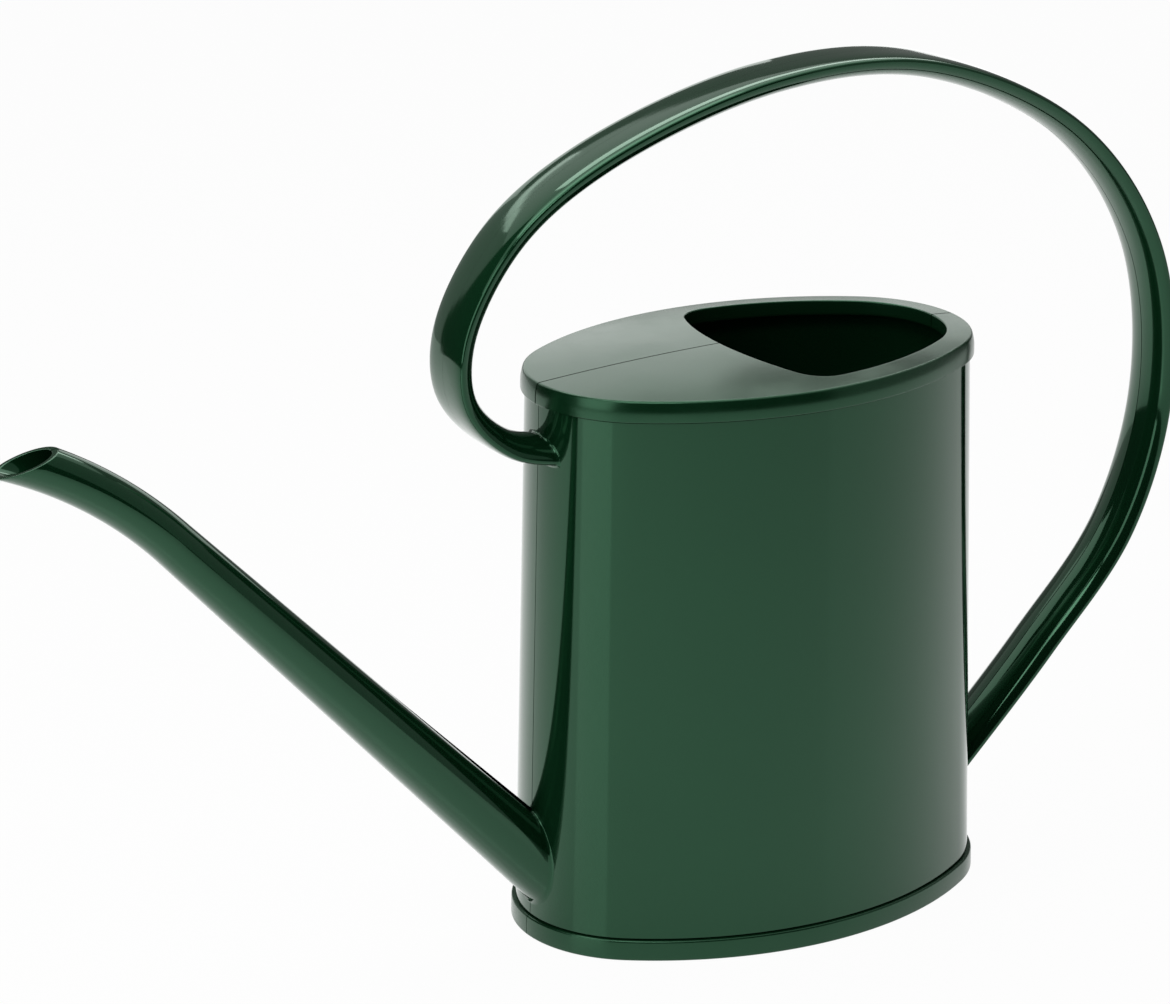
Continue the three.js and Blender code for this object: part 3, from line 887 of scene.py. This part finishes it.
def cut(piece, cutter_data):
    """Takes the cutter's shape out of a piece."""
    cutter = bpy.data.objects.new("cutter", cutter_data)
    bpy.context.scene.collection.objects.link(cutter)
    modifier = piece.modifiers.new("cut", "BOOLEAN")
    modifier.object = cutter
    modifier.operation = "DIFFERENCE"
    modifier.solver = "EXACT"
    evaluated = piece.evaluated_get(bpy.context.evaluated_depsgraph_get())
    data = bpy.data.meshes.new_from_object(evaluated)
    piece.modifiers.clear()
    piece.data = data
    bpy.data.objects.remove(cutter)


# ---- finishes ----

GREEN = (0.003, 0.022, 0.008)
GREEN_SHEEN = (0.41, 1, 0.61, 1)
PLASTIC_IOR = 1.58
BODY_POLISH = 0.07
COVER_POLISH = 0.22

# Scale and detail of the noise in the dye, the polish and the surface.
DYE_NOISE = (28, 3)
SMEAR_NOISE = (60, 2)
RIPPLE_NOISE = (45, 1)
NOISE_RANGE = (0.3, 0.7)  # the part of a noise's values that is spread out
DYE_DARKEST, DYE_LIGHTEST = 0.9, 1.1
POLISH_FINEST, POLISH_COARSEST = 0.85, 1.2
RIPPLE_STRENGTH = 0.05
RIPPLE_HEIGHT = 0.2 * MM


def shader_nodes(name):
    """A new material, its node tree and its surface shader."""
    material = bpy.data.materials.new(name)
    material.use_nodes = True
    tree = material.node_tree
    return material, tree, tree.nodes["Principled BSDF"]


def noise(tree, place, scale, detail):
    node = tree.nodes.new("ShaderNodeTexNoise")
    node.inputs["Scale"].default_value = scale
    node.inputs["Detail"].default_value = detail
    tree.links.new(place, node.inputs["Vector"])
    return node.outputs["Fac"]


def ramp(tree, value, low, high, dark, light):
    """Values from low to high, spread between two colours."""
    node = tree.nodes.new("ShaderNodeValToRGB")
    tree.links.new(value, node.inputs["Fac"])
    node.color_ramp.elements[0].position = low
    node.color_ramp.elements[1].position = high
    node.color_ramp.elements[0].color = (*dark, 1)
    node.color_ramp.elements[1].color = (*light, 1)
    return node.outputs["Color"]


def spread(tree, value, low, high, to_low, to_high):
    """Values from low to high, spread between two numbers."""
    node = tree.nodes.new("ShaderNodeMapRange")
    ends = {"From Min": low, "From Max": high, "To Min": to_low, "To Max": to_high}
    for label, number in ends.items():
        node.inputs[label].default_value = number
    tree.links.new(value, node.inputs["Value"])
    return node.outputs["Result"]


def green_plastic(name, polish):
    """Dyed glossy plastic: slightly uneven dye and polish, and a faint ripple from the mould."""
    material, tree, surface = shader_nodes(name)
    place = tree.nodes.new("ShaderNodeTexCoord").outputs["Object"]
    dye = noise(tree, place, *DYE_NOISE)
    darker, lighter = (tuple(c * share for c in GREEN) for share in (DYE_DARKEST, DYE_LIGHTEST))
    tree.links.new(ramp(tree, dye, *NOISE_RANGE, darker, lighter), surface.inputs["Base Color"])
    smear = noise(tree, place, *SMEAR_NOISE)
    roughness = spread(tree, smear, *NOISE_RANGE, polish * POLISH_FINEST, polish * POLISH_COARSEST)
    tree.links.new(roughness, surface.inputs["Roughness"])
    wave = noise(tree, place, *RIPPLE_NOISE)
    bump = tree.nodes.new("ShaderNodeBump")
    bump.inputs["Strength"].default_value = RIPPLE_STRENGTH
    bump.inputs["Distance"].default_value = RIPPLE_HEIGHT
    tree.links.new(wave, bump.inputs["Height"])
    tree.links.new(bump.outputs["Normal"], surface.inputs["Normal"])
    surface.inputs["IOR"].default_value = PLASTIC_IOR
    surface.inputs["Specular Tint"].default_value = GREEN_SHEEN
    return material


BODY_GREEN = green_plastic("body green", BODY_POLISH)
COVER_GREEN = green_plastic("cover green", COVER_POLISH)

# ---- the pieces ----

BAR_TREE = moulded_bar_tree()

for word, side in (("left", 1), ("right", -1)):
    # The cover takes the foot band's softer polish, so the two share a material.
    made = [
        ("foot", foot_half(side), COVER_GREEN, "base", "band_green"),
        ("wall", wall_half(side), BODY_GREEN, "body_wall", "body_green"),
        ("lid", cover_half(side), COVER_GREEN, "cover", "band_green"),
        ("pipe", spout_half(side), BODY_GREEN, "spout", "body_green"),
        ("loop", handle_half(side, BODY_GREEN), BODY_GREEN, "handle", "body_green"),
    ]
    for label, data, material, node, slot in made:
        piece = add_piece(f"{label}_{word}", data, material)
        if label == "loop":
            cut(piece, oval_solid(BAND_PROUD + SINK, -CUT_MARGIN, BODY_HEIGHT + CUT_MARGIN))
        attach(piece, "root")
        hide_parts(f"{node}_{word}")

# ---- camera ----

SENSOR_WIDTH = 36
LENS = 144.93
VIEW_FROM = (-0.4646, -0.8232, 0.3263)
VIEW_DISTANCE = 1409.5  # in millimetres, as the lens is
VIEW_FORWARD = 57.24 * MM  # from the can's axis towards the spout
VIEW_HEIGHT = 136.87 * MM
NEAREST = 0.05
FARTHEST = 50

camera_data = bpy.data.cameras.new("camera")
camera = bpy.data.objects.new("camera", camera_data)
bpy.context.scene.collection.objects.link(camera)
bpy.context.scene.camera = camera
camera_data.sensor_width = SENSOR_WIDTH
camera_data.lens = LENS
camera_data.clip_start = NEAREST
camera_data.clip_end = FARTHEST
towards = Vector(VIEW_FROM).normalized()
target = Vector((AXIS_X - VIEW_FORWARD, 0, VIEW_HEIGHT))
camera.location = target + towards * VIEW_DISTANCE * MM
camera.rotation_mode = "QUATERNION"
camera.rotation_quaternion = (-towards).to_track_quat("-Z", "Y")

# ---- floor and light ----

FLOOR_REACH = 12
FLOOR_DROP = 0.05 * MM
FLOOR_GREY = 0.8
FLOOR_ROUGHNESS = 0.13
FLOOR_WHITENESS = 0.97  # share of plain white in what the camera sees of the floor
FLOOR_SHINE = 0.8  # how brightly the gloss shows the floor
FILL = 0.04  # brightness of the plain fill from all round
CEILING = 0.72  # height of the overhead lights
SCREEN_STEPS = 60
MIDDLE = Vector((AXIS_X, 0, BODY_HEIGHT / 2))
WHITE = (1, 1, 1, 1)
BLACK = (0, 0, 0, 1)


def add_stage(name, data):
    thing = bpy.data.objects.new(name, data)
    bpy.context.scene.collection.objects.link(thing)
    return thing


def blend(tree, share, first, second, output):
    """Leads a mix of two shaders to the tree's output. At share 1 only the second is left."""
    mix = tree.nodes.new("ShaderNodeMixShader")
    tree.links.new(share, mix.inputs["Fac"])
    tree.links.new(first.outputs[0], mix.inputs[1])
    tree.links.new(second.outputs[0], mix.inputs[2])
    tree.links.new(mix.outputs[0], tree.nodes[output].inputs["Surface"])


def plain_floor():
    """A pale polished table that is white to the camera but keeps a soft shadow."""
    corners = [(-1, -1), (1, -1), (1, 1), (-1, 1)]
    points = [(x * FLOOR_REACH, y * FLOOR_REACH, -FLOOR_DROP) for x, y in corners]
    data = bpy.data.meshes.new("floor")
    data.from_pydata(points, [], [(0, 1, 2, 3)])
    add_stage("floor", data)
    material, tree, surface = shader_nodes("pale floor")
    surface.inputs["Base Color"].default_value = (FLOOR_GREY, FLOOR_GREY, FLOOR_GREY, 1)
    surface.inputs["Roughness"].default_value = FLOOR_ROUGHNESS
    surface.inputs["Emission Color"].default_value = WHITE
    paths = tree.nodes.new("ShaderNodeLightPath")
    shine = maths(tree, "MULTIPLY", paths.outputs["Is Glossy Ray"], FLOOR_SHINE)
    tree.links.new(shine, surface.inputs["Emission Strength"])
    seen = maths(tree, "MULTIPLY", paths.outputs["Is Camera Ray"], FLOOR_WHITENESS)
    white = tree.nodes.new("ShaderNodeEmission")
    blend(tree, seen, surface, white, "Material Output")
    data.materials.append(material)


def studio_air():
    """White to the camera and in reflections, and a plain fill for everything else."""
    world = bpy.data.worlds.new("studio")
    world.use_nodes = True
    bpy.context.scene.world = world
    tree = world.node_tree
    fill = tree.nodes["Background"]
    fill.inputs["Color"].default_value = WHITE
    fill.inputs["Strength"].default_value = FILL
    white = tree.nodes.new("ShaderNodeBackground")
    white.inputs["Color"].default_value = WHITE
    paths = tree.nodes.new("ShaderNodeLightPath")
    seen = maths(tree, "MAXIMUM", paths.outputs["Is Camera Ray"], paths.outputs["Is Glossy Ray"])
    blend(tree, seen, fill, white, "World Output")


def softbox(name, place, width, height, brightness, level=False):
    """A soft light at a place measured from the can's axis, level or turned towards the can."""
    lamp = bpy.data.lights.new(name, "AREA")
    lamp.shape = "RECTANGLE"
    lamp.size, lamp.size_y = width, height
    lamp.energy = brightness * math.pi * width * height
    box = bpy.data.objects.new(name, lamp)
    bpy.context.scene.collection.objects.link(box)
    box.location = Vector((AXIS_X, 0, 0)) + Vector(place)
    if not level:
        box.rotation_mode = "QUATERNION"
        box.rotation_quaternion = (box.location - MIDDLE).to_track_quat("Z", "Y")
    box.visible_camera = False


def screen(name, start, end, distance, low, high, glow, end_high=None):
    """A curved screen round the can from start to end degrees, which only the gloss shows.

    Its top slopes from high to end_high, where that is given.
    """
    end_high = high if end_high is None else end_high
    bottom, top = [], []
    for i in range(SCREEN_STEPS + 1):
        t = i / SCREEN_STEPS
        angle = math.radians(lerp(start, end, t))
        way = Vector((math.cos(angle), math.sin(angle))) * distance
        bottom.append((MIDDLE.x + way.x, way.y, low))
        top.append((MIDDLE.x + way.x, way.y, lerp(high, end_high, t)))
    points = bottom + top
    count = len(bottom)
    faces = [(i, i + 1, i + 1 + count, i + count) for i in range(count - 1)]
    data = bpy.data.meshes.new(name)
    data.from_pydata(points, [], faces)
    cloth = add_stage(name, data)
    material, tree, surface = shader_nodes(name)
    surface.inputs["Base Color"].default_value = BLACK
    surface.inputs["Roughness"].default_value = 1
    surface.inputs["Specular IOR Level"].default_value = 0
    surface.inputs["Emission Color"].default_value = WHITE
    surface.inputs["Emission Strength"].default_value = glow
    data.materials.append(material)
    cloth.visible_camera = False
    cloth.visible_diffuse = False
    cloth.visible_shadow = False


plain_floor()
studio_air()

screen("near curtain", start=125, end=300, distance=1.1, low=0, high=1.5, glow=0.02)
screen("right curtain", start=300, end=360, distance=1.1, low=0, high=1.5, glow=0.35)
screen("far curtain", start=0, end=95, distance=1.6, low=0, high=1.15, glow=0.2)
screen("side curtain", start=95, end=125, distance=1.6, low=0, high=1.15, glow=0.5)
screen("low card", start=60, end=115, distance=0.2, low=0.19, high=0.315, glow=1.5)
screen("low card end", start=20, end=60, distance=0.2, low=0.19, high=0.225, glow=1.5,
       end_high=0.285)

softbox("overhead", place=(-0.28, 0.14, CEILING), width=1.45, height=0.34, brightness=1.1,
        level=True)
softbox("overhead left", place=(-0.17, 0.05, CEILING - 0.02), width=0.55, height=0.3,
        brightness=2, level=True)
softbox("overhead streak", place=(-0.17, 0.84, CEILING), width=0.45, height=0.08,
        brightness=2.2, level=True)
softbox("overhead right", place=(0.3, 0.45, CEILING), width=0.9, height=0.16, brightness=4,
        level=True)
softbox("upper left", place=(-0.3, -0.36, CEILING), width=0.3, height=0.2, brightness=5)
softbox("left panel", place=(-0.86, -0.25, 0.44), width=0.53, height=0.8, brightness=2.2)

bpy.context.scene.view_settings.view_transform = "Standard"
